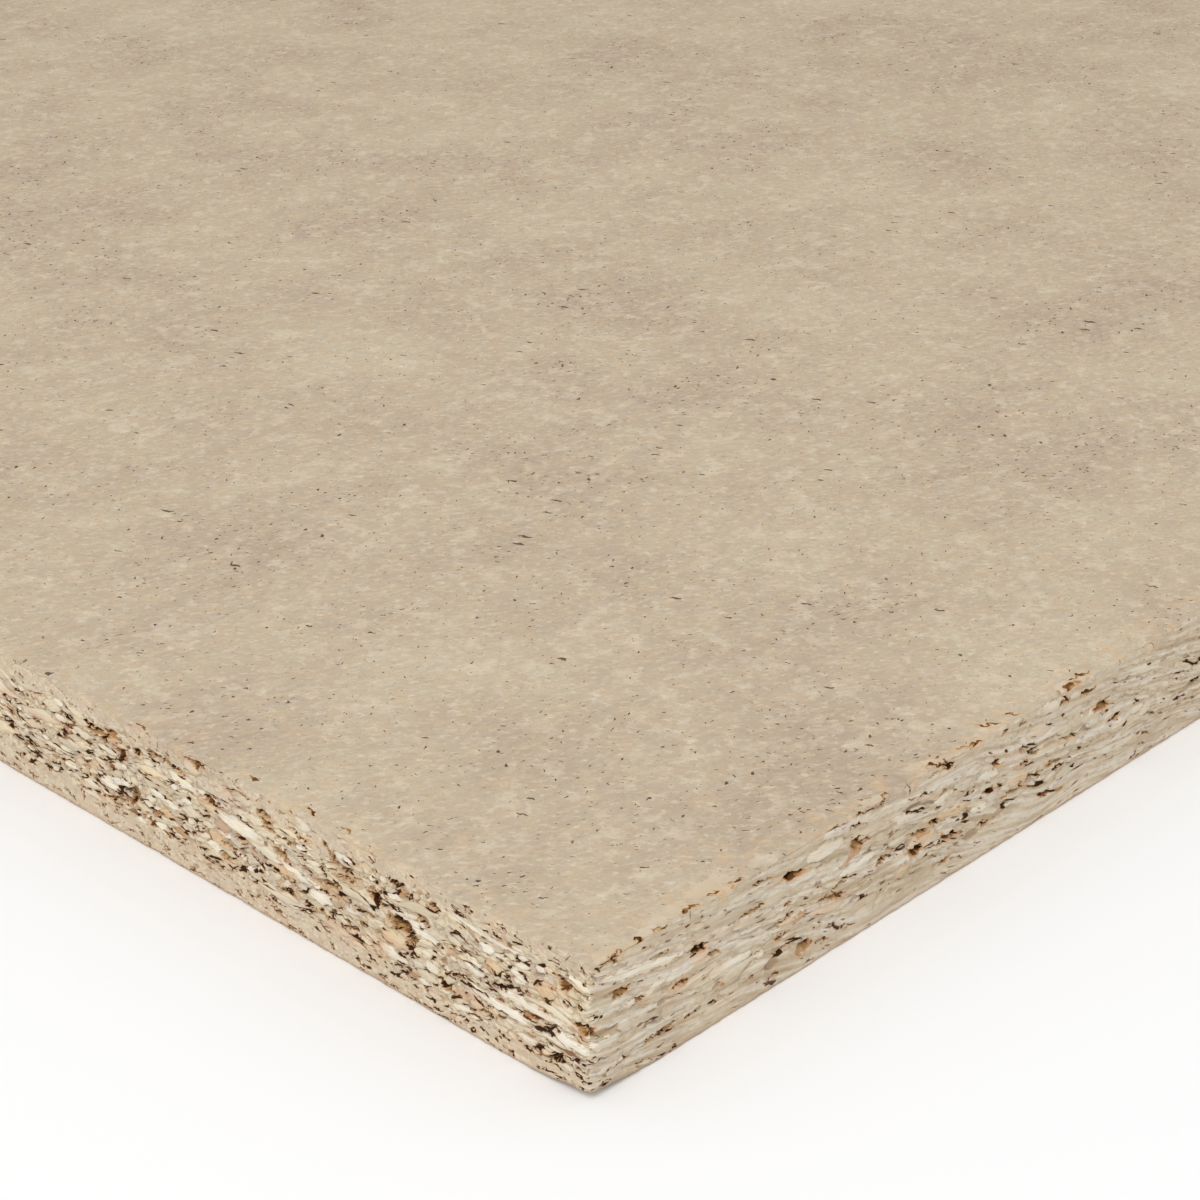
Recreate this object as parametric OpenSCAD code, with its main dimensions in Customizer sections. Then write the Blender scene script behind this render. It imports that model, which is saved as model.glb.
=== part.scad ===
// Chipboard sheet: one flat rectangular panel of pressed wood particles.
// It lies flat on its underside, with its length along X and its width along Y.
// The origin is at the centre of the underside.

/* [Sheet] */
// Length of the sheet, along X
sheet_length = 1220; // [300:10:3050]
// Width of the sheet, along Y
sheet_width = 610; // [100:5:1250]
// Thickness of the sheet, along Z
sheet_thickness = 18; // [8:1:38]

/* [Edges] */
// Radius that sanding leaves on the arrises round both faces
arris_radius = 0.5; // [0.2:0.1:1.5]
// Radius of the four upright corners
corner_radius = 1.0; // [0.3:0.1:5]

/* [Hidden] */
sheet_color = [0.78, 0.71, 0.62];
arc_facets = 48;

// A rectangle about the origin whose four corners are arcs.
module rounded_rectangle(width, height, radius) {
    square([width - 2 * radius, height], center = true);
    square([width, height - 2 * radius], center = true);
    for (x_side = [-1, 1], y_side = [-1, 1])
        translate([x_side * (width / 2 - radius), y_side * (height / 2 - radius)])
            circle(r = radius, $fn = arc_facets);
}

// The sheet's outline from above, as thick as the sheet.
module plan() {
    linear_extrude(height = sheet_thickness, center = true)
        rounded_rectangle(sheet_length, sheet_width, corner_radius);
}

// A bar along Z whose section is that of a sheet of the given width, with its arrises eased.
module eased_bar(width, length) {
    linear_extrude(height = length, center = true)
        rounded_rectangle(width, sheet_thickness, arris_radius);
}

// The whole sheet: its plan, cut by the sections along its length and its width.
module chipboard_sheet() {
    color(sheet_color)
        translate([0, 0, sheet_thickness / 2])
            intersection() {
                plan();
                rotate([90, 0, 0]) eased_bar(sheet_length, sheet_width);
                rotate([90, 0, 90]) eased_bar(sheet_width, sheet_length);
            }
}

chipboard_sheet();
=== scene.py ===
"""The looks of a chipboard sheet: sanded faces, and sawn edges that show the pressed chips.

The sheet is one closed mesh. Its edges are carved inward by the same three-dimensional
chip pattern that colours them, so a gap between two chips, painted dark as shade, is also a real
groove.
"""
import math

import bmesh
import bpy
import numpy as np
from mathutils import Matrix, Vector
from mathutils.geometry import delaunay_2d_cdt


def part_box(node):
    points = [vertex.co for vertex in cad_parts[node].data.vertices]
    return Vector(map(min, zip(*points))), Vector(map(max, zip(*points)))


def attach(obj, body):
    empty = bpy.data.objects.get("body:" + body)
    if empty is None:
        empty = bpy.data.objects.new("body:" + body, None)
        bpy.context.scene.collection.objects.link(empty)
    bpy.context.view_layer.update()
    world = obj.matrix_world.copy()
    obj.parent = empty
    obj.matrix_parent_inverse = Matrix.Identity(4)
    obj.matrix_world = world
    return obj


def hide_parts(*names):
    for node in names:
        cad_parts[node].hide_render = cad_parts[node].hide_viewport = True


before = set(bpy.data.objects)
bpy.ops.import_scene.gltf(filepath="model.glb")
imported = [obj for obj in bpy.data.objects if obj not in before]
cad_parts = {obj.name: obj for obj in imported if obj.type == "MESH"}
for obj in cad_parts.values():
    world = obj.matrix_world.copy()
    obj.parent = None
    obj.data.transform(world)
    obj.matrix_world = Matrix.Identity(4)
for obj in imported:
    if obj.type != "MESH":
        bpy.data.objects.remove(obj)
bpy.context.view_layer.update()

LOW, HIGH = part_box("chipboard_sheet")
MM = 0.001

# The sheet's size and form, in millimetres.
LENGTH = (HIGH.x - LOW.x) / MM
WIDTH = (HIGH.y - LOW.y) / MM
THICKNESS = (HIGH.z - LOW.z) / MM
CORNER_RADIUS = 1.0
ARRIS_RADIUS = 0.5

# The mesh, in millimetres: fine round the nearest corner, and coarser beyond.
FINE_REACH = 126.0
FINE_STEP = 0.25
COARSE_STEP = 1.2
FINE_ARC_STEPS = 7
COARSE_ARC_STEPS = 3
ARRIS_STEPS = 5
TOP_INSETS = [6.0, 4.8, 3.9, 3.2, 2.6, 2.1, 1.7, 1.35, 1.05, 0.8, 0.62]
BOTTOM_INSETS = [0.62, 0.9, 1.3, 1.9, 2.8, 4.0]
CAP_INSETS = [9, 14, 22, 36, 58, 90, 140, 200, 270, 300]
# Triangles of the fine band and of the coarse one, once they are thinned.
BAND_TRIANGLES = [114000, 77500]
# The heights between which the sawn edge is out of the faces' reach.
MIDDLE_FROM = 1.0
MIDDLE_TO = 11.5

# The nearest corner's underside is knocked up a little: how far, in millimetres, and how far
# along the sides and up the edge this reaches.
KNOCK_DEPTH = 1.2
KNOCK_REACH = 7.0
KNOCK_HEIGHT = 4.0

# Camera, measured from the sheet's nearest lower corner, in millimetres.
NEAR_CORNER = Vector((LOW.x, LOW.y, LOW.z))
EYE = Vector((-181.64, -175.13, 187.13))
LOOK_AT = Vector((67.65, 63.03, 18.0))
LENS = 82.37


# ---- node formulas
class Graph:
    """Writes node trees as formulas. It serves materials and geometry nodes alike."""

    def __init__(self, tree):
        self.tree = tree

    def feed(self, socket, value):
        if isinstance(value, bpy.types.NodeSocket):
            self.tree.links.new(value, socket)
        else:
            socket.default_value = value

    def node(self, kind, *values, **settings):
        """A new node, with its first inputs fed in their order."""
        made = self.tree.nodes.new(kind)
        for name, value in settings.items():
            setattr(made, name, value)
        for socket, value in zip(made.inputs, values):
            self.feed(socket, value)
        return made

    def math(self, operation, *values):
        return self.node("ShaderNodeMath", *values, operation=operation).outputs[0]

    def chain(self, operation, first, *others):
        """The operation on the first two values, then on the outcome and the third, and so on."""
        for other in others:
            first = self.math(operation, first, other)
        return first

    def add(self, a, b):
        return self.math("ADD", a, b)

    def sub(self, a, b):
        return self.math("SUBTRACT", a, b)

    def mul(self, *values):
        return self.chain("MULTIPLY", *values)

    def low(self, a, b):
        return self.math("MINIMUM", a, b)

    def high(self, *values):
        return self.chain("MAXIMUM", *values)

    def over(self, a, b):
        return self.math("GREATER_THAN", a, b)

    def swing(self, value, size):
        """A noise value, which lies round a half, as one that swings about zero."""
        return self.mul(self.sub(value, 0.5), size)

    def vector(self, operation, *values):
        made = self.node("ShaderNodeVectorMath", *values, operation=operation)
        return made.outputs["Value" if operation == "DOT_PRODUCT" else "Vector"]

    def parts(self, vector):
        return self.node("ShaderNodeSeparateXYZ", vector).outputs

    def joined(self, x, y, z):
        return self.node("ShaderNodeCombineXYZ", x, y, z).outputs[0]

    def stretched(self, vector, x, y, z):
        """The vector measured in cells of x, y and z millimetres."""
        return self.vector("MULTIPLY", vector, (1 / x, 1 / y, 1 / z))

    def turned(self, vector, degrees):
        """The vector turned about the z axis."""
        made = self.node("ShaderNodeVectorRotate", vector, rotation_type="Z_AXIS")
        made.inputs["Angle"].default_value = math.radians(degrees)
        return made.outputs[0]

    def noise(self, place, cell, detail=2.0, roughness=0.5, output="Fac"):
        """Noise with cells of x, y and z millimetres."""
        made = self.node("ShaderNodeTexNoise", self.stretched(place, *cell))
        for name, value in (("Scale", 1.0), ("Detail", detail), ("Roughness", roughness)):
            made.inputs[name].default_value = value
        return made.outputs[output]

    def cells(self, vector, feature="F1", randomness=1.0, metric="EUCLIDEAN", dimensions="3D"):
        made = self.node("ShaderNodeTexVoronoi", vector, voronoi_dimensions=dimensions,
                         feature=feature)
        if feature == "F1":
            made.distance = metric
        made.inputs["Scale"].default_value = 1.0
        made.inputs["Randomness"].default_value = randomness
        return made.outputs

    def smooth(self, value, start, end, low=0.0, high=1.0):
        made = self.node("ShaderNodeMapRange", value, start, end, low, high,
                         interpolation_type="SMOOTHSTEP")
        return made.outputs[0]

    def mixed(self, kind, first, factor, a, b):
        made = self.node("ShaderNodeMix", factor, data_type=kind)
        self.feed(made.inputs[first], a)
        self.feed(made.inputs[first + 1], b)
        return made.outputs

    def mix(self, factor, a, b):
        return self.mixed("FLOAT", 2, factor, a, b)[0]

    def mix_vector(self, factor, a, b):
        return self.mixed("VECTOR", 4, factor, a, b)[1]

    def blend(self, factor, a, b):
        return self.mixed("RGBA", 6, factor, a, b)[2]

    def tinted(self, colour, tints):
        """The colour with tints over it: what each follows, from where to where, and its share."""
        for value, start, end, share, tint in tints:
            colour = self.blend(self.smooth(value, start, end, 0.0, share), colour, tint)
        return colour

    def ramp(self, factor, stops, interpolation="LINEAR"):
        """The colour at a factor. A stop is its place, and its red, green and blue."""
        made = self.node("ShaderNodeValToRGB", factor)
        band = made.color_ramp
        band.interpolation = interpolation
        while len(band.elements) < len(stops):
            band.elements.new(0.5)
        for element, (place, *colour) in zip(band.elements, stops):
            element.position = place
            element.color = linear(*colour)
        return made.outputs[0]


def linear(red, green, blue):
    """A display colour, 0 to 255, as the linear colour that nodes take."""
    def channel(value):
        value /= 255
        return value / 12.92 if value <= 0.04045 else ((value + 0.055) / 1.055) ** 2.4
    return (channel(red), channel(green), channel(blue), 1.0)


# ---- chip pattern
# Layers of chips from the deepest to the one on top. A cell is the room of one chip: how long,
# wide and thick it is, in millimetres. Turn and tilt are degrees, fill is a chip's reach in its
# cell, share is how many cells hold a chip, and ragged is how much its rim strays. EUCLIDEAN
# chips are oval, and MANHATTAN ones pointed.
CHIP_LAYERS = [
    {"cell": (2.4, 1.9, 0.85), "turn": 20, "tilt": 4, "fill": 0.62, "share": 0.78,
     "metric": "EUCLIDEAN", "ragged": 1.0},
    {"cell": (6.0, 2.4, 0.95), "turn": 50, "tilt": -8, "fill": 0.60, "share": 0.45,
     "metric": "EUCLIDEAN", "ragged": 0.6},
    {"cell": (13.0, 3.2, 1.2), "turn": 4, "tilt": -5, "fill": 0.82, "share": 0.36,
     "metric": "MANHATTAN", "ragged": 0.3},
    {"cell": (12.0, 3.2, 1.3), "turn": 93, "tilt": 6, "fill": 0.82, "share": 0.36,
     "metric": "MANHATTAN", "ragged": 0.3},
]
# The cracks beside chips longer than this, in millimetres, run on further.
LONG_CHIP = 8.0
# Chips and pockets that stand out near the corner in view, given one by one: the distance along
# the side from the corner, the height, the length and the thickness in millimetres, and the
# slope in degrees. A height over the sheet's thickness goes on over the upper face.
SHORT_SIDE_PALE = [
    (9.9, 8.8, 14, 1.4, 0), (14, 6.5, 13, 1.3, 1), (3.2, 6.8, 7, 1.5, 3),
    (1.6, 15.4, 3.8, 0.8, 14), (16.4, 13.5, 2.8, 1.2, -4), (32.5, 5.3, 5, 1.5, 6),
    (29, 11.1, 8.8, 1.4, 9), (60.5, 11.3, 9, 2.2, 3), (49.1, 16.7, 4.6, 1.5, 0),
    (11.5, 12.4, 3, 1.2, 10), (45.5, 7.5, 4.4, 1.6, 0), (50.3, 9.3, 6.5, 1.2, 16),
    (71.3, 13.4, 6, 1.3, 10), (75.5, 9.2, 7, 1.1, 8), (87.3, 6.8, 5, 1.4, 8),
]
LONG_SIDE_PALE = [
    (2.2, 7.1, 6, 1.2, -3), (8.6, 14.2, 14.5, 1.3, -12), (9, 10.6, 8, 1, 4),
    (41, 15.5, 7, 2.2, -2), (47, 10.6, 7.5, 1.2, 2), (29.2, 6.2, 1.8, 0.9, 0),
    (24, 7.4, 8, 1.5, -3), (56.5, 13.4, 6, 1.2, -12), (63.7, 12.8, 2.8, 1.3, 0),
    (73.8, 12.2, 4.6, 1.3, -14), (72.3, 7.8, 3.6, 1.2, -8), (86.7, 17, 6, 1.9, -12),
]
SHORT_SIDE_TAN = [
    (15.3, 11.6, 2.6, 1.7, 0), (32, 7.6, 5.2, 2.3, 0), (51.6, 8.6, 8.4, 1.4, -3),
    (7, 12.1, 3, 2.4, 0), (69.4, 16.4, 3.6, 2, 0), (64.6, 7.6, 5, 1.6, 6),
]
LONG_SIDE_TAN = [
    (15, 9.2, 4, 1.8, 8), (18.6, 11, 4, 1.2, 6), (41.8, 6.9, 6.4, 1.6, -8),
    (34.2, 8.3, 4, 1, -10), (60.5, 8.3, 6, 2.6, -8), (56.5, 5.5, 3, 2, 10),
    (66.8, 10, 7, 1.6, -4), (80.5, 8.9, 5, 2.2, -10), (84.6, 14.4, 5.4, 1.8, -10),
    (92.6, 9.6, 1.8, 1.6, 0), (61.5, 19.8, 5, 1.6, -14), (65.5, 18.7, 4.5, 1.3, -20),
    (91.5, 19.2, 4.4, 2, 0), (89.9, 16.8, 3, 1.3, 0), (50.4, 18.6, 5, 1.4, -8),
    (3, 19.4, 5, 2, 0), (10, 19, 4, 1.4, 0), (15, 19.6, 7, 2, 0),
    (22.5, 19.8, 8, 2.2, 0), (31, 19.2, 5, 1.6, 0),
]
SHORT_SIDE_RUST = [
    (0.6, 9.2, 2.6, 1, 0), (9.2, 7.5, 3.4, 0.5, -2), (15.9, 10.9, 1.6, 0.8, 0),
    (31.2, 10.2, 3, 0.9, -6), (55.5, 14.9, 3, 1.4, 10), (42.4, 14.1, 4.6, 1.1, 41),
    (64, 10, 3.2, 1.5, 0),
]
LONG_SIDE_RUST = [
    (46.8, 12.9, 1.8, 1.8, 0), (45.3, 12.2, 3.4, 0.9, 30), (36.6, 8, 2.8, 0.7, 10),
    (27.9, 3.3, 1.4, 0.8, 0), (78.6, 7.4, 2.2, 0.5, 0), (99.2, 12.1, 2.4, 0.8, 0),
    (59.3, 6.8, 2.2, 0.8, 0), (64.8, 17.6, 2.8, 0.6, -20), (92, 18.2, 2.2, 1.4, 0),
    (37.3, 2.7, 1.9, 1, 0), (15.6, 8.9, 2.4, 1.1, 6), (60.2, 9.3, 3.2, 0.8, -12),
]
SHORT_SIDE_POCKETS = [
    (8.7, 7.7, 3.4, 0.6, -2), (3, 14.5, 6, 0.6, 9), (4.1, 14.2, 1.6, 1, 0),
    (0.6, 9.7, 3.4, 1.5, 0), (13.3, 10.5, 2.2, 0.5, 14), (23.3, 5, 2.4, 1, 30),
    (31.2, 10.4, 3.8, 1.9, -6), (29.3, 9, 1.4, 2.6, 20), (35, 11.9, 3.4, 1, 12),
    (1.5, 3.6, 2.8, 0.6, 6), (5.8, 2.4, 2, 0.4, 34), (31.5, 15.7, 2, 0.6, -8),
    (27.2, 12.5, 2.8, 0.6, 16), (6.7, 11, 1.6, 0.5, -14), (24.8, 15.2, 1.6, 0.5, 10),
    (37.2, 9, 2.6, 0.5, -6), (42.3, 13.9, 6, 0.8, 41), (42.5, 10.9, 2.2, 0.8, 10),
    (49.1, 15, 2.8, 0.45, 20), (52.7, 10.8, 3.2, 0.8, 14), (53.1, 13.2, 4.8, 0.5, 10),
    (54.2, 8, 2, 0.5, -20), (50.2, 7.1, 3.4, 0.4, 16), (44.2, 5.2, 3.2, 0.4, 22),
    (55.9, 15.3, 2.8, 0.6, 0), (55.3, 14.3, 2.2, 0.45, 6), (63.4, 5.6, 2.4, 0.9, -6),
    (62.6, 7.4, 2.6, 0.5, 0), (60.5, 16.2, 5, 0.3, -1), (66, 13, 2.8, 0.6, 0),
    (68.9, 17.2, 3.8, 0.6, 6), (75.1, 15.2, 8.4, 0.45, 5), (77.2, 6.5, 2.2, 0.6, 0),
    (79.1, 4.5, 1.3, 1.2, 0), (80.7, 14.2, 2, 1, -10), (82.8, 5.9, 2, 1, 0),
    (84.2, 12.6, 2.1, 1.4, 0), (86.5, 4.9, 4.2, 0.45, -14), (88.8, 14.1, 5.6, 1, -6),
    (48, 19.5, 2.4, 0.5, 0), (41.7, 19.3, 2.2, 0.6, 0), (59.2, 19.8, 1.8, 0.4, 0),
    (79.8, 18.9, 2, 0.5, 0),
]
LONG_SIDE_POCKETS = [
    (0.3, 9.8, 2.6, 1.3, -4), (5.2, 12.6, 2.6, 1, -8), (15.2, 8.9, 2.4, 0.6, -4),
    (18.2, 12.3, 2.6, 0.8, -20), (2.7, 17.6, 3.6, 0.4, 2), (11.7, 3.8, 6.4, 0.3, 4),
    (17.3, 3.8, 2.2, 0.5, 10), (20.8, 10.4, 2.6, 0.4, -14), (2.8, 2.4, 2, 0.35, 26),
    (5.3, 3, 2.4, 0.3, 6), (8, 10.4, 1.6, 0.5, 0), (25.3, 18.5, 2, 0.5, -6),
    (27.3, 13.1, 3.6, 0.4, -2), (29.7, 16.2, 4.6, 0.35, -8), (27.9, 3.7, 1.1, 0.5, 0),
    (33.1, 5.1, 2.2, 0.45, 0), (33.3, 6.8, 2.2, 0.45, 6), (33.8, 9.2, 2.4, 0.6, 6),
    (34.6, 11, 1.4, 0.7, 0), (35.2, 14.5, 4.6, 0.9, -8), (37.3, 3.2, 2.4, 1.3, 0),
    (41, 2.6, 2.4, 0.5, -14), (42.4, 8.1, 5.6, 0.7, -14), (44, 9.5, 2.6, 0.5, 24),
    (42.8, 17.8, 3.8, 0.35, -8), (46.7, 16.5, 3.2, 0.35, -14), (46.9, 13.8, 2, 1.1, -30),
    (48.7, 13.7, 2.6, 0.45, -12), (48.8, 17.6, 3.6, 0.4, -6), (51.6, 17.4, 1.8, 0.45, 0),
    (52.6, 18.3, 1.4, 0.5, 0), (53.6, 9, 3.6, 0.4, -16), (51.7, 8.9, 1.5, 0.9, 10),
    (59.2, 7.3, 2.8, 1.1, -10), (59.6, 9.9, 3.8, 0.6, -14), (60.7, 14.9, 3.4, 0.4, -8),
    (62.4, 10.1, 2.2, 0.5, -14), (63, 11.8, 1, 0.7, -10), (63.6, 6.2, 3.2, 0.4, -10),
    (63.6, 18.6, 4.4, 0.6, -18), (64.6, 17.5, 3.2, 0.5, -20), (64.9, 3, 3.8, 0.35, 4),
    (66.2, 6.5, 3.6, 0.9, -14), (68.5, 18.8, 2.4, 0.5, -34), (70.4, 18.4, 2.8, 0.5, -20),
    (73.2, 5.2, 2.2, 0.5, -10), (74.1, 9.9, 1.8, 0.6, 0), (75.4, 13.2, 0.9, 1.1, 0),
    (75.9, 20.1, 2.8, 0.5, -20), (76.9, 17.2, 1, 0.7, 0), (79.7, 7.2, 4.8, 0.5, -2),
    (80.3, 19.6, 2, 0.5, -24), (80.6, 16.8, 1.4, 0.45, 0), (81.3, 10.7, 2, 0.5, 0),
    (81.4, 13.2, 1.8, 0.45, 0), (83.7, 7.8, 2.6, 0.4, -10), (84.3, 11.4, 1.8, 0.4, 0),
    (88.4, 3.5, 5.2, 0.6, -14), (88.6, 7.8, 3.2, 0.5, -4), (89.9, 16.7, 2, 0.9, 10),
    (91.7, 10.6, 4.6, 0.4, -6), (92.2, 18.8, 2.4, 1.4, 0), (95.1, 19.6, 3.6, 0.45, -8),
    (95.4, 15.9, 3.2, 0.7, -4), (98.9, 12.6, 3.2, 1.3, -14), (101.9, 9.3, 2.8, 0.8, 0),
    (4.6, 18.3, 1.7, 0.5, 0), (8.5, 18.5, 1.5, 0.5, 0), (12, 18.2, 1.8, 0.5, 0),
    (17, 18.5, 2.3, 0.6, 0), (21.3, 18.6, 1.7, 0.5, 0),
]
LISTED = {
    "pale": {"short": SHORT_SIDE_PALE, "long": LONG_SIDE_PALE},
    "tan": {"short": SHORT_SIDE_TAN, "long": LONG_SIDE_TAN},
    "rust": {"short": SHORT_SIDE_RUST, "long": LONG_SIDE_RUST},
    "pockets": {"short": SHORT_SIDE_POCKETS, "long": LONG_SIDE_POCKETS},
}
# A listed chip's kind, the size of its grain in millimetres, and its place in CHIP_TONES.
LISTED_CHIPS = [
    ("tan", (3.0, 3.0, 1.5), 0.9),
    ("pale", (9.0, 9.0, 1.2), 0.45),
    ("rust", (2.0, 2.0, 1.0), 0.985),
]
# Zones of the sides, from and to a distance along the side. An edge material looks only through
# the listed spots that reach into its own zone, which keeps it quick.
EVERYWHERE = [("short", 0, 9999), ("long", 0, 9999)]
ZONES = [
    ("short", 0, 33), ("short", 33, 60), ("short", 60, 9999),
    ("long", 0, 33), ("long", 33, 64), ("long", 64, 9999),
]
# The sheet's material slots: two for each zone, and then the faces' own.
FACE_SLOT = 2 * len(ZONES)
# On the long sides the chips look larger, and rise along the side by this share.
LONG_SIDE_SCALE = (0.62, 0.62, 0.66)
LEAN = 0.09
# Distances along the sides, in millimetres: the long sides follow the short ones, and the far
# sides have no listed spots. NOWHERE is a spot that fills up a group of three.
LONG_SIDE_START = 1000.0
FAR_SIDE_START = 4000.0
NOWHERE = (-500.0, 0.0, 1.0, 1.0, 0.0)


def centred_noise(g, place, cell, detail):
    """A noise vector that swings about zero."""
    return g.vector("SUBTRACT", g.noise(place, cell, detail, output="Color"), (0.5, 0.5, 0.5))


def dust_layer(g, at):
    """The fine particles between the chips."""
    dust = g.cells(at)
    _, tone, lift = g.parts(dust["Color"])
    rim = g.mul(g.cells(at, "DISTANCE_TO_EDGE")[0], 0.6)
    return {"tone": tone, "rim": rim, "lift": g.add(g.mul(lift, 0.5), 0.5), "shade": 0.0,
            "grain": at, "coarse": 0.0, "long": 0.0}


def laid_over(g, below, inside, shadow, **over):
    """What is seen once something is laid over what is below."""
    found = {name: g.mix(inside, below[name], over[name])
             for name in ("tone", "rim", "lift", "coarse")}
    found["shade"] = g.mix(inside, g.high(below["shade"], shadow), 0.0)
    found["grain"] = g.mix_vector(inside, below["grain"], over["grain"])
    found["long"] = g.mix(g.high(inside, shadow), below["long"], over["long"])
    return found


def chip_layer(g, below, place, presence, number, layer):
    """One layer of chips laid over what is below."""
    moved = g.vector("ADD", place, (37.0 * number, 11.0, 5.0))
    turned = g.node("ShaderNodeVectorRotate", moved, rotation_type="EULER_XYZ")
    angles = (0.0, math.radians(layer["tilt"]), math.radians(layer["turn"]))
    turned.inputs["Rotation"].default_value = angles
    length, _, thickness = layer["cell"]
    at = g.stretched(turned.outputs[0], *layer["cell"])
    chip = g.cells(at, metric=layer["metric"], randomness=0.9)
    kind, tone, lift = g.parts(chip["Color"])
    reach = g.add(0.6, g.mul(g.math("FRACT", g.mul(lift, 7.3)), 0.4))
    rim = g.mul(g.sub(g.mul(reach, layer["fill"]), chip["Distance"]), thickness)
    here = g.math("LESS_THAN", kind, g.mul(presence, layer["share"]))
    inside = g.mul(here, g.over(rim, 0.0))
    shadow = g.mul(here, g.smooth(rim, -0.12, -0.05))
    slope = g.vector("DOT_PRODUCT", g.vector("SUBTRACT", at, chip["Position"]), (0.5, 0.3, 0.4))
    return laid_over(g, below, inside, shadow, tone=tone, rim=rim, grain=at, coarse=1.0,
                     lift=g.add(g.mul(lift, 0.8), slope), long=float(length > LONG_CHIP))


def side_place(g, bent, long_side):
    """Distance along a side from the corner in view, and height, which goes on over the faces."""
    x, y, z = g.parts(bent)
    along = g.mix(long_side, g.add(y, WIDTH / 2), g.add(x, LENGTH / 2 + LONG_SIDE_START))
    across = g.mix(long_side, x, y)
    along = g.add(along, g.mul(g.over(across, 0.0), FAR_SIDE_START))
    half = g.mix(long_side, LENGTH / 2, WIDTH / 2)
    inset = g.high(g.sub(half, g.math("ABSOLUTE", across)), 0.0)
    upper = g.over(z, THICKNESS / 2)
    height = g.add(z, g.mul(inset, g.mix(upper, -1.0, 1.0)))
    return g.joined(along, height, 1.0)


def spot_numbers(at, up, length, thickness, slope):
    """What turns a place along and up into one measured from a spot's centre to its rim."""
    turn = math.radians(slope)
    along = Vector((math.cos(turn), math.sin(turn))) * (2 / length)
    across = Vector((-math.sin(turn), math.cos(turn))) * (2 / thickness)
    centre = Vector((at, up))
    return (*along, -along.dot(centre), *across, -across.dot(centre))


def zone_spots(listed, zone):
    """The listed spots that reach into one zone of the sides."""
    side, start, end = zone
    first = LONG_SIDE_START if side == "long" else 0.0
    found = []
    for at, up, length, thickness, slope in LISTED[listed][side]:
        reach = 0.9 * length + 2.0
        if start - reach < at < end + reach:
            found.append((at + first, up, length, thickness, slope))
    return found


def spots_group(kind, listed, zone):
    """A node group that looks through a zone's listed spots, three at a time."""
    tree = bpy.data.node_groups.new("_".join((listed, *map(str, zone))), kind)
    for name in ("Along", "Up", "Inside", "Height"):
        tree.interface.new_socket(name, in_out="INPUT", socket_type="NodeSocketVector")
    for name in ("Inside", "Height"):
        tree.interface.new_socket(name, in_out="OUTPUT", socket_type="NodeSocketVector")
    g = Graph(tree)
    along, up, inside, height = g.node("NodeGroupInput").outputs[:4]
    spots = zone_spots(listed, zone)
    spots += [NOWHERE] * (-len(spots) % 3)
    for start in range(0, len(spots), 3):
        numbers = [spot_numbers(*spot) for spot in spots[start:start + 3]]
        a_along, a_up, a_start, b_along, b_up, b_start = zip(*numbers)
        a = g.vector("MULTIPLY_ADD", up, a_up, a_start)
        a = g.vector("MULTIPLY_ADD", along, a_along, a)
        b = g.vector("MULTIPLY_ADD", up, b_up, b_start)
        b = g.vector("MULTIPLY_ADD", along, b_along, b)
        far = g.vector("MULTIPLY_ADD", a, a, g.vector("MULTIPLY", b, b))
        here = g.vector("SUBTRACT", (1.0, 1.0, 1.0), far)
        inside = g.vector("MAXIMUM", inside, here)
        if listed == "pockets":
            here = g.vector("MAXIMUM", here, (0.0, 0.0, 0.0))
            height = g.vector("MULTIPLY_ADD", here, b, height)
    g.node("NodeGroupOutput", inside, height)
    return tree


def listed_spots(g, spot, listed, zones):
    """Distance inside the nearest listed spot, about in millimetres, and the height in it."""
    kind = g.tree.bl_idname
    at, up, _ = g.parts(spot)
    along, up = g.joined(at, at, at), g.joined(up, up, up)
    inside, height = (-99.0, -99.0, -99.0), (0.0, 0.0, 0.0)
    for zone in zones:
        group = g.node(kind.replace("Tree", "Group"), along, up, inside, height, label=listed,
                       node_tree=spots_group(kind, listed, zone))
        inside, height = group.outputs[:2]
    x, y, z = g.parts(inside)
    inside = g.high(x, y, z)
    rim = g.sub(1.0, g.math("SQRT", g.high(g.sub(1.0, inside), 0.0)))
    height = g.vector("DOT_PRODUCT", height, (1.0, 1.0, 1.0))
    return g.mul(rim, 0.55), g.math("DIVIDE", height, g.high(inside, 0.02))


def listed_chips(g, below, rim, grain, tone):
    """The listed chips of one tone, laid over what is below."""
    inside = g.over(rim, 0.0)
    shadow = g.smooth(rim, -0.10, -0.04)
    return laid_over(g, below, inside, shadow, tone=tone, rim=rim, grain=grain, coarse=1.0,
                     lift=0.2, long=1.0)


def arris_wear(g, place):
    """How far the arrises are worn, in millimetres: less along the underside."""
    wear = g.noise(place, (5.0, 5.0, 4.0), roughness=0.6)
    wear = g.mul(g.smooth(wear, 0.42, 0.75), 1.4)
    nick = g.swing(g.noise(place, (1.5, 1.5, 1.5)), 1.2)
    height = g.parts(place)[2]
    return g.mul(g.add(wear, nick), g.smooth(height, 5.0, 10.0, 0.35, 1.0))


def insets(g, place):
    """How far in a place is from the short sides, from the long sides, and from the nearest."""
    x, y, _ = g.parts(place)
    inset_x = g.sub(LENGTH / 2, g.math("ABSOLUTE", x))
    inset_y = g.sub(WIDTH / 2, g.math("ABSOLUTE", y))
    return inset_x, inset_y, g.low(inset_x, inset_y)


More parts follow.
